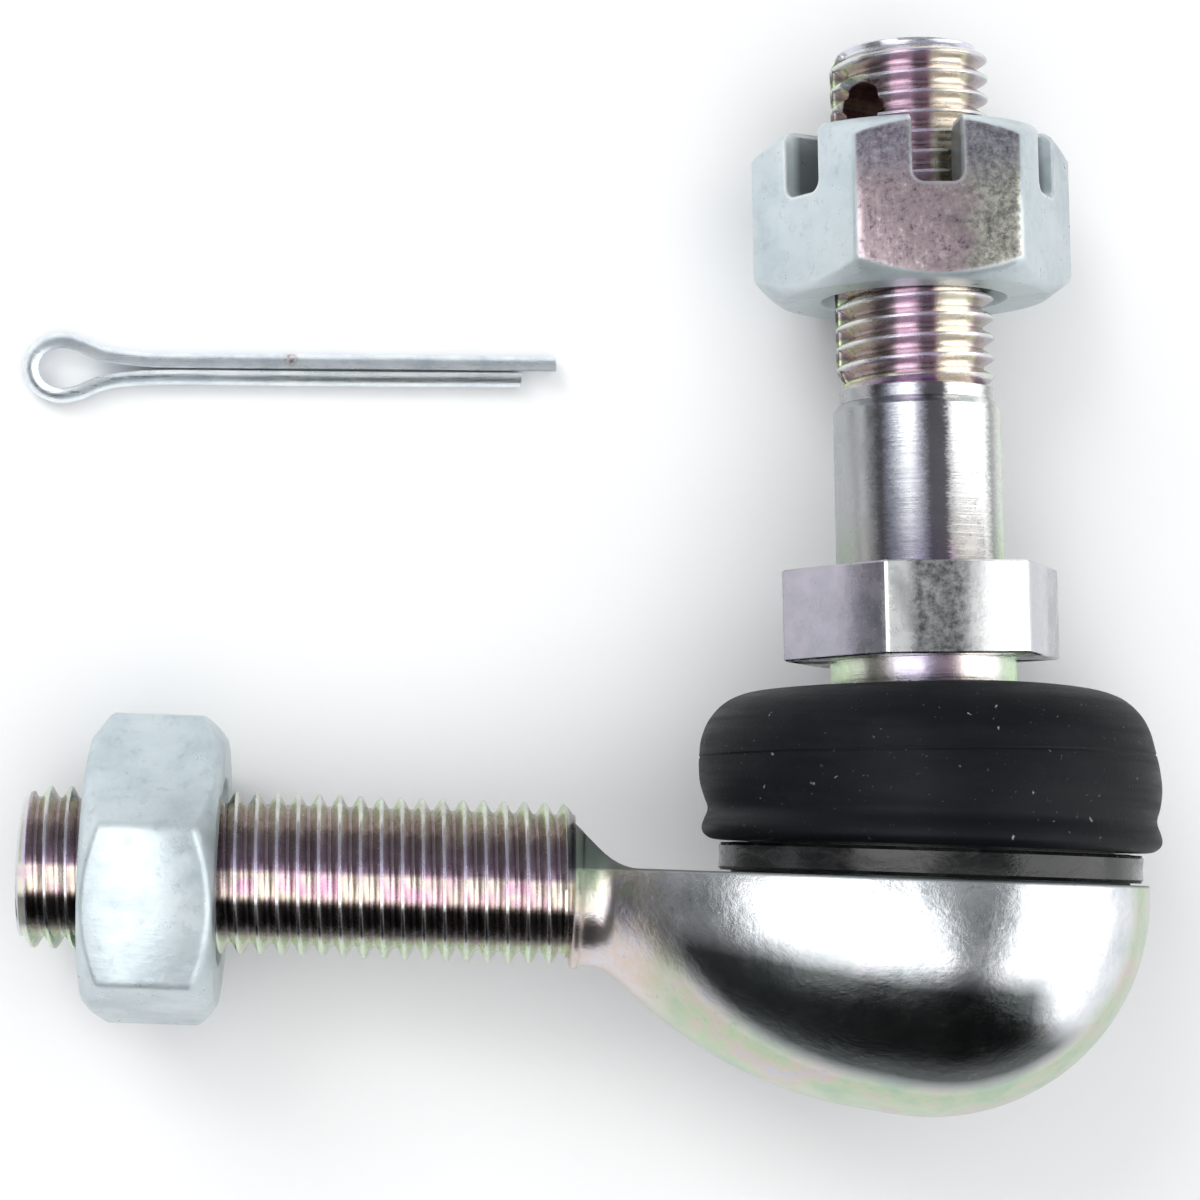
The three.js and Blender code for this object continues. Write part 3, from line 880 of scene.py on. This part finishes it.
# ---- Housing ----
def egg_profile():
    """The forging before it is cut: round at the far end, drawn in to the neck and the shank's collar."""
    steps = 6
    side = arc(0, 0, BOWL_RADIUS, -8, 0, 1) + [
        (13.28, 1.8), (13.05, 3.4), (12.6, 6.2), (11.55, 9.7),
        (9.9, 13.3), (7.7, 16.6), (6.1, 18.6), (5.3, 19.6),
    ]
    # The curve's first stretch lies on the arc: it only lends the side a smooth start.
    drawn_in = smooth_line(side, steps)[steps + 1:]
    neck = [
        (5.0, SHANK_NECK_START - 0.2),
        (4.95, SHANK_NECK_START + 0.3),
        (4.95, SHANK_THREAD_START - 0.6),
        (5.12, SHANK_THREAD_START - 0.5),
        (5.12, SHANK_THREAD_START - 0.1),
        (4.6, SHANK_THREAD_START + 0.05),
        (0, SHANK_THREAD_START + 0.05),
    ]
    return arc(0, 0, BOWL_RADIUS, -90, 0, 45) + drawn_in + neck


def face_cutter():
    """What is milled away above the flat face and the slope that rises from it to the neck."""
    slope_end = SLOPE_HEAD - 4
    outline = [
        (CUTTER_REACH, CUTTER_REACH),
        (slope_end, CUTTER_REACH),
        (slope_end, FACE_HEIGHT + SLOPE_FOOT - slope_end),
    ]
    steps = 6
    for i in range(steps + 1):
        t = i / steps
        outline.append((SLOPE_FOOT + SLOPE_BLEND * (2 * t - 1), FACE_HEIGHT + SLOPE_BLEND * (1 - t) ** 2))
    outline.append((CUTTER_REACH, FACE_HEIGHT))
    return prism("milled_face", outline, CUTTER_REACH)


def grooved_rim():
    """The raised rim that the boot's bead grips, before the pocket is cut."""
    section = [
        (0, FACE_HEIGHT - 2),
        (RIM_RADIUS, FACE_HEIGHT - 2),
        (RIM_RADIUS, GROOVE_BOTTOM),
        (GROOVE_RADIUS, GROOVE_BOTTOM),
        (GROOVE_RADIUS, GROOVE_TOP),
        (RIM_RADIUS, GROOVE_TOP),
        (RIM_RADIUS, RIM_TOP - 0.5),
        (RIM_RADIUS - 0.5, RIM_TOP),
        (0, RIM_TOP),
    ]
    return Shell(round_angles()).wind(section).build("rim")


def pocket_cutter():
    section = arc(0, 0, POCKET_RADIUS, -90, 0, 24) + [
        (POCKET_RADIUS, POCKET_TOP),
        (RIM_LIP_RADIUS, POCKET_TOP),
        (RIM_LIP_RADIUS, RIM_TOP + 1),
        (0, RIM_TOP + 1),
    ]
    return Shell(round_angles()).wind(section).build("pocket")


def shank_thread():
    start = SHANK_THREAD_START - 0.1
    thread = Shell(round_angles(72))
    thread.wind([(0, start), (THREAD_CORE, start)])
    thread.thread(start, SHANK_END)
    thread.wind([(THREAD_CORE, SHANK_END), (0, SHANK_END)])
    shank = thread.build("shank_thread")
    shank.data.transform(ALONG_SHANK)
    place(shank, "housing", ["housing"], shank_thread_material())


def housing():
    body = Shell(round_angles(128)).wind(egg_profile()).build("housing_body")
    body.data.transform(ALONG_SHANK)
    cut(body, face_cutter())
    cut(body, grooved_rim(), "UNION")
    cut(body, pocket_cutter())
    place(body, "housing", ["housing"], housing_material())
    shank_thread()


# ---- Ball stud ----
def stud_hexagon(y, inset=0.0):
    """A row of the stud's profile that follows its hexagon."""
    return lambda angle: (hex_radius(angle, HEX_FLATS - 2 * inset, HEX_TURN, HEX_CORNER_ROUND), y)


def stud_profile():
    """From the ball's far side, up the neck, over the hexagon and along the plain shank to the thread."""
    neck_angle = math.degrees(math.acos(NECK_RADIUS / BALL_RADIUS))
    ball = arc(0, 0, BALL_RADIUS, -90, neck_angle, 40)
    neck = smooth_line((
        (NECK_RADIUS, 6.9), (NECK_RADIUS, 8), (4.75, 9.3), (5.4, 10.6), (LAND_RADIUS, 11.2),
    ), 5)
    return ball + neck + [
        (LAND_RADIUS, HEX_BOTTOM),
        stud_hexagon(HEX_BOTTOM, HEX_EDGE),
        stud_hexagon(HEX_BOTTOM + HEX_EDGE),
        stud_hexagon(HEX_TOP - HEX_EDGE),
        stud_hexagon(HEX_TOP, HEX_EDGE),
        (STUD_RADIUS + 0.25, HEX_TOP),
        (STUD_RADIUS + 0.08, HEX_TOP + 0.12),
        (STUD_RADIUS, HEX_TOP + 0.35),
        (STUD_RADIUS - 0.03, STUD_PLAIN_TOP - 0.35),
        (STUD_RADIUS - 0.3, STUD_PLAIN_TOP),
        (RELIEF_RADIUS, STUD_PLAIN_TOP + 0.12),
        (RELIEF_RADIUS, STUD_THREAD_START - 0.1),
        (THREAD_CORE, STUD_THREAD_START),
    ]


def cotter_hole_cutter():
    """A drill right through the thread, with a countersink at each mouth."""
    half = [(COTTER_HOLE_RADIUS, 4.2), (COTTER_HOLE_RADIUS + COUNTERSINK, 4.7), (3.1, 6), (3.5, 8), (0, 8)]
    section = [(radius, -y) for radius, y in reversed(half)] + half
    drill = Shell(round_angles(32)).wind(section).build("drill")
    turn = Euler((math.pi / 2, 0, 0)).to_matrix().to_4x4()
    swing = Matrix.Rotation(math.radians(-COTTER_HOLE_TURN), 4, "Y")
    drill.data.transform(Matrix.Translation((0, COTTER_HOLE_HEIGHT, 0)) @ swing @ turn)
    return drill


def ball_stud():
    body = Shell(hex_angles(HEX_TURN)).wind(stud_profile())
    body.thread(STUD_THREAD_START, STUD_END)
    body.wind([(THREAD_CORE, STUD_END), (0, STUD_END)])
    stud = body.build("ball_stud_body")
    cut(stud, cotter_hole_cutter())
    place(stud, "stud", ["ball_stud"], stud_material(), STUD_FRAME)


# ---- Nuts ----
def nut_blank(name, flats, height, turn):
    """A bored hexagon whose corners are turned off at both ends, with every outside edge rounded."""
    face = flats / 2 - NUT_FACE_INSET
    corner = hex_radius(math.radians(turn), flats, turn, NUT_CORNER_ROUND)
    slope = NUT_CHAMFER / (corner - face)

    def side(inset, rise):
        def point(angle):
            radius = hex_radius(angle, flats, turn, NUT_CORNER_ROUND)
            return radius - inset, slope * (radius - inset - face) + rise
        return point

    def from_top(row):
        def point(angle):
            radius, y = row(angle) if callable(row) else row
            return radius, height - y
        return point

    lower = [
        (NUT_BORE_RADIUS, NUT_COUNTERSINK + 0.05),
        (NUT_BORE_RADIUS + NUT_COUNTERSINK, 0),
        (face - 0.12, 0),
        (face + 0.04, 0.03),
        side(NUT_EDGE_ROUND, 0),
        side(0, NUT_EDGE_ROUND),
    ]
    upper = [from_top(row) for row in reversed(lower)]
    return Shell(hex_angles(turn)).wind(lower + upper, closed=True).build(name)


def slot_outline():
    """One slot's section: straight sides and rounded bottom corners."""
    half = SLOT_WIDTH / 2
    above = CASTLE_NUT_HEIGHT + 1
    corner_x = half - SLOT_CORNER
    corner_y = CASTLE_NUT_HEIGHT - SLOT_DEPTH + SLOT_CORNER
    points = [(-half, above)]
    for centre, start in ((-corner_x, 180), (corner_x, 270)):
        for step in range(7):
            angle = math.radians(start + 15 * step)
            points.append((centre + SLOT_CORNER * math.cos(angle), corner_y + SLOT_CORNER * math.sin(angle)))
    points.append((half, above))
    return points


def castle_nut():
    nut = nut_blank("castle_nut_body", CASTLE_NUT_FLATS, CASTLE_NUT_HEIGHT, CASTLE_NUT_TURN)
    reach = 15
    for i in range(3):
        slot = prism("slot", slot_outline(), reach)
        slot.data.transform(Matrix.Rotation(math.radians(CASTLE_NUT_TURN + 60 * i), 4, "Y"))
        cut(nut, slot)
    nut.data.transform(Matrix.Translation((0, CASTLE_NUT_BOTTOM, 0)))
    place(nut, "castle_nut", ["castle_nut"], castle_nut_material(), STUD_FRAME)


def jam_nut():
    nut = nut_blank("jam_nut_body", JAM_NUT_FLATS, JAM_NUT_HEIGHT, -JAM_NUT_TURN)
    nut.data.transform(ALONG_SHANK @ Matrix.Translation((0, JAM_NUT_INNER_FACE, 0)))
    place(nut, "jam_nut", ["jam_nut"], jam_nut_material())


# ---- Boot, band and ring ----
def smooth_share(value, low, high):
    """Rises smoothly from 0 at low to 1 at high."""
    share = min(max((value - low) / (high - low), 0.0), 1.0)
    return share * share * (3 - 2 * share)


def moulded(point):
    """A point of the boot, pressed out of true as soft rubber is, and bent after the stud at rest."""
    x, y, z = point
    radius = math.hypot(x, z)
    if radius > 9 and y > 3:
        wave = noise.noise(point * 0.16) * BOOT_WAVE + noise.noise(point * 0.6) * BOOT_RIPPLE - BOOT_WAVE
        x *= 1 + wave / radius
        z *= 1 + wave / radius
    sag = BOOT_SAG * max(0.0, x / radius) ** 2 * smooth_share(y, BOOT_BEND_START, BOOT_BEND_END + 2)
    swing = STUD_SWING * smooth_share(y, BOOT_BEND_START, BOOT_BEND_END)
    return Matrix.Rotation(swing, 3, "Z") @ Vector((x, y - sag, z))


def boot_section():
    """The skin's closed section: up the outside, over the shoulder to the mouth, and down the inside."""
    outside = smooth_line((
        (13.15, 3.06), (13.6, 3.15), (14.0, 3.45), (14.1, 3.85), (13.98, 4.3), (13.8, 4.75), (13.78, 5.15),
        (13.98, 5.8), (BOOT_RADIUS, 6.8), (14.12, 7.9), (14.04, 8.6)), 5)
    parting = [(13.97, 8.67), (13.97, 8.73), (14.02, 8.8)]
    shoulder = smooth_line((
        (14.0, 8.9), (13.8, 10), (13.3, 11.1), (12.4, 12.05), (11.2, 12.6), (9.9, 12.78), (8.8, 12.72),
        (8.1, 12.4), (7.8, 11.9), (7.65, 11.62)), 5)
    mouth = [(7.5, 11.58), (6.06, 11.56), (6.02, 11.4), (6.02, 10.5), (6.1, 10.35)]
    inside = smooth_line((
        (6.4, 10.35), (9.6, 10.85), (11.3, 10.25), (12.3, 8.6), (12.55, 6.4), (12.35, 4.05)), 4)
    bead_bore = GROOVE_RADIUS + 0.12
    bead = [(GROOVE_RADIUS + 0.2, 4.02), (bead_bore, 3.9), (bead_bore, 3.2), (11.45, 3.08)]
    return outside + parting + shoulder + mouth + inside + bead


def dust_boot():
    piece = Shell(round_angles(144)).wind(boot_section(), closed=True).build("boot_skin")
    for vertex in piece.data.vertices:
        vertex.co = moulded(vertex.co)
    place(piece, None, ["dust_boot"], rubber_material(), sharp_angle=40)
    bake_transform(piece)


def boot_band():
    low = FACE_HEIGHT + 0.12
    section = [
        (BASE_RING_BORE, low),
        (BASE_RING_RADIUS - 0.15, low),
        (BASE_RING_RADIUS, low + 0.2),
        (BASE_RING_RADIUS - 0.05, (low + BASE_RING_TOP) / 2),
        (BASE_RING_RADIUS, BASE_RING_TOP - 0.2),
        (BASE_RING_RADIUS - RING_EDGE, BASE_RING_TOP),
        (BASE_RING_BORE, BASE_RING_TOP),
    ]
    band = Shell(round_angles()).wind(section, closed=True).build("boot_band")
    place(band, "boot", ["boot_base_ring"], greasy_band_material())


def seal_ring():
    section = [
        (SEAL_RING_BORE + RING_EDGE, SEAL_RING_BOTTOM),
        (SEAL_RING_RADIUS - RING_EDGE, SEAL_RING_BOTTOM),
        (SEAL_RING_RADIUS, SEAL_RING_BOTTOM + RING_EDGE),
        (SEAL_RING_RADIUS, SEAL_RING_TOP - RING_EDGE),
        (SEAL_RING_RADIUS - RING_EDGE, SEAL_RING_TOP),
        (SEAL_RING_BORE + RING_EDGE, SEAL_RING_TOP),
        (SEAL_RING_BORE, SEAL_RING_TOP - RING_EDGE),
        (SEAL_RING_BORE, SEAL_RING_BOTTOM + RING_EDGE),
    ]
    ring = Shell(round_angles()).wind(section, closed=True).build("mouth_ring")
    place(ring, "boot_mouth", ["boot_seal_ring"], pale_ring_material(), STUD_FRAME)


# ---- Cotter pin ----
def pin_path():
    """The wire's course: in along the shorter leg, round the eye and out along the longer one."""
    upper = (
        (PIN_LEG_RADIUS, 0), (1.12, 0.6), (1.65, 1.07), (2.4, PIN_EYE_RADIUS), (3.25, 1.08), (4.0, 0.76),
        (5.0, 0.4), (6.3, 0.2), (8.2, 0.07), (12.0, PIN_LEG_GAP), (22.0, PIN_LEG_GAP + 0.02),
        (PIN_LENGTH - 4, PIN_LEG_GAP), (PIN_LENGTH, PIN_LEG_GAP),
    )
    lower = [(min(x, PIN_LENGTH - PIN_SHORTER_LEG), -y) for x, y in upper[:0:-1]]
    return smooth_line(lower + list(upper), 8)


def wire_points(path, section):
    """The section, carried along the path. Its flat side faces in and it lies on the bench."""
    points = []
    for i, (x, y) in enumerate(path):
        ahead = Vector(path[min(i + 1, len(path) - 1)])
        behind = Vector(path[max(i - 1, 0)])
        along = (ahead - behind).normalized()
        outward = Vector((-along.y, along.x))
        for out, up in section:
            points.append((x + outward.x * out, y + outward.y * out, up + PIN_LEG_RADIUS))
    return points


def wire_faces(rows, count):
    faces = []
    for i in range(rows - 1):
        for k in range(count):
            n = (k + 1) % count
            faces.append((i * count + k, i * count + n, (i + 1) * count + n, (i + 1) * count + k))
    faces.append(tuple(range(count)))
    faces.append(tuple(range(rows * count - 1, rows * count - 1 - count, -1)))
    return faces


def cotter_pin():
    path = pin_path()
    half_turn = [math.radians(angle) for angle in range(0, 181, 12)]
    section = [(PIN_LEG_RADIUS * math.sin(angle), PIN_LEG_RADIUS * math.cos(angle)) for angle in half_turn]
    points = wire_points(path, section)
    pin = make_object("cotter_pin_wire", points, wire_faces(len(path), len(section)))
    low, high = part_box("cotter_pin")
    eye_reach = PIN_EYE_RADIUS + PIN_LEG_RADIUS + 0.04
    eye_end = Vector((low[0], high[1] - eye_reach * MM, low[2]))
    turn = Matrix.Rotation(math.radians(PIN_TURN), 4, "Z")
    matrix = Matrix.Translation(eye_end) @ turn @ Matrix.Scale(MM, 4)
    place(pin, "cotter_pin", ["cotter_pin"], wire_material(), matrix)


# ---- Bearing ----
def inner_pieces():
    """The bearing's own CAD solids stay, and all three take the seats' moulded material."""
    for node in ("lower_ball_seat", "upper_ball_seat", "retaining_ring"):
        material = seat_material()
        for slot in frame["nodes"][node].material_slots:
            slot.material = material


# ---- Stage, light and camera ----
def bench():
    reach_m = 3.0
    points = [(-reach_m, -reach_m, 0), (reach_m, -reach_m, 0), (reach_m, reach_m, 0), (-reach_m, reach_m, 0)]
    floor = make_object("bench", points, [(0, 1, 2, 3)])
    floor.data.materials.append(bench_material())


def softbox(name, place_m, size, watts, for_gloss):
    """A rectangular light that faces the part. It lights either the gloss or the matt colours."""
    light = bpy.data.lights.new(name, "AREA")
    light.shape = "RECTANGLE"
    light.size, light.size_y = size
    light.energy = watts
    lamp = bpy.data.objects.new(name, light)
    lamp.location = place_m
    lamp.rotation_euler = (-Vector(place_m)).to_track_quat("-Z", "Y").to_euler()
    lamp.visible_glossy = for_gloss
    lamp.visible_diffuse = not for_gloss
    bpy.context.scene.collection.objects.link(lamp)


def studio_world():
    """A dim room: brightest beyond the stud's end, with a little light from the left and from overhead."""
    world = bpy.data.worlds.new("studio")
    world.use_nodes = True
    tree = world.node_tree
    split = tree.nodes.new("ShaderNodeSeparateXYZ")
    tree.links.new(tree.nodes.new("ShaderNodeTexCoord").outputs["Generated"], split.inputs[0])
    level = None
    darkest = 0.01
    for axis, low, high, brightest in (("Y", -0.1, 0.7, 0.38), ("X", 0.2, -0.9, 0.14), ("Z", 0.6, 1.0, 0.17)):
        glow = tree.nodes.new("ShaderNodeMapRange")
        glow.interpolation_type = "SMOOTHSTEP"
        tree.links.new(split.outputs[axis], glow.inputs["Value"])
        glow.inputs["From Min"].default_value = low
        glow.inputs["From Max"].default_value = high
        glow.inputs["To Min"].default_value = darkest
        glow.inputs["To Max"].default_value = brightest
        if level is None:
            level = glow.outputs[0]
            continue
        both = tree.nodes.new("ShaderNodeMath")
        tree.links.new(level, both.inputs[0])
        tree.links.new(glow.outputs[0], both.inputs[1])
        level = both.outputs[0]
    tree.links.new(level, tree.nodes["Background"].inputs["Strength"])
    tree.nodes["Background"].inputs["Color"].default_value = (0.95, 0.98, 1, 1)
    bpy.context.scene.world = world


def lights():
    studio_world()
    softbox("left_panel", (-0.29, -0.13, 0.55), (0.7, 0.5), 2.3, True)
    softbox("right_panel", (0.52, -0.12, 0.3), (0.75, 0.7), 3.2, True)
    softbox("key", (-0.35, 0.38, 0.55), (0.3, 0.3), 1.7, False)
    softbox("fill", (0, -0.05, 0.8), (1.2, 1.2), 6.9, False)


def camera():
    """Looks down on the part from nearly overhead, leaning a little towards the shank and the bowl."""
    data = bpy.data.cameras.new("camera")
    data.sensor_width = CAMERA_SENSOR
    data.lens = CAMERA_LENS
    cam = bpy.data.objects.new("camera", data)
    right = CAMERA_UP.cross(CAMERA_BACK).normalized()
    turn = Matrix((right, CAMERA_BACK.cross(right), CAMERA_BACK)).transposed().to_4x4()
    place_m = Matrix.Translation(HOUSING_FRAME @ CAMERA_EYE)
    cam.matrix_world = place_m @ HOUSING_FRAME.to_3x3().normalized().to_4x4() @ turn
    data.clip_start = 0.01
    data.clip_end = 20
    bpy.context.scene.collection.objects.link(cam)
    bpy.context.scene.camera = cam


housing()
ball_stud()
castle_nut()
jam_nut()
dust_boot()
boot_band()
seal_ring()
cotter_pin()
inner_pieces()
bench()
lights()
camera()
bpy.context.scene.view_settings.view_transform = "Standard"
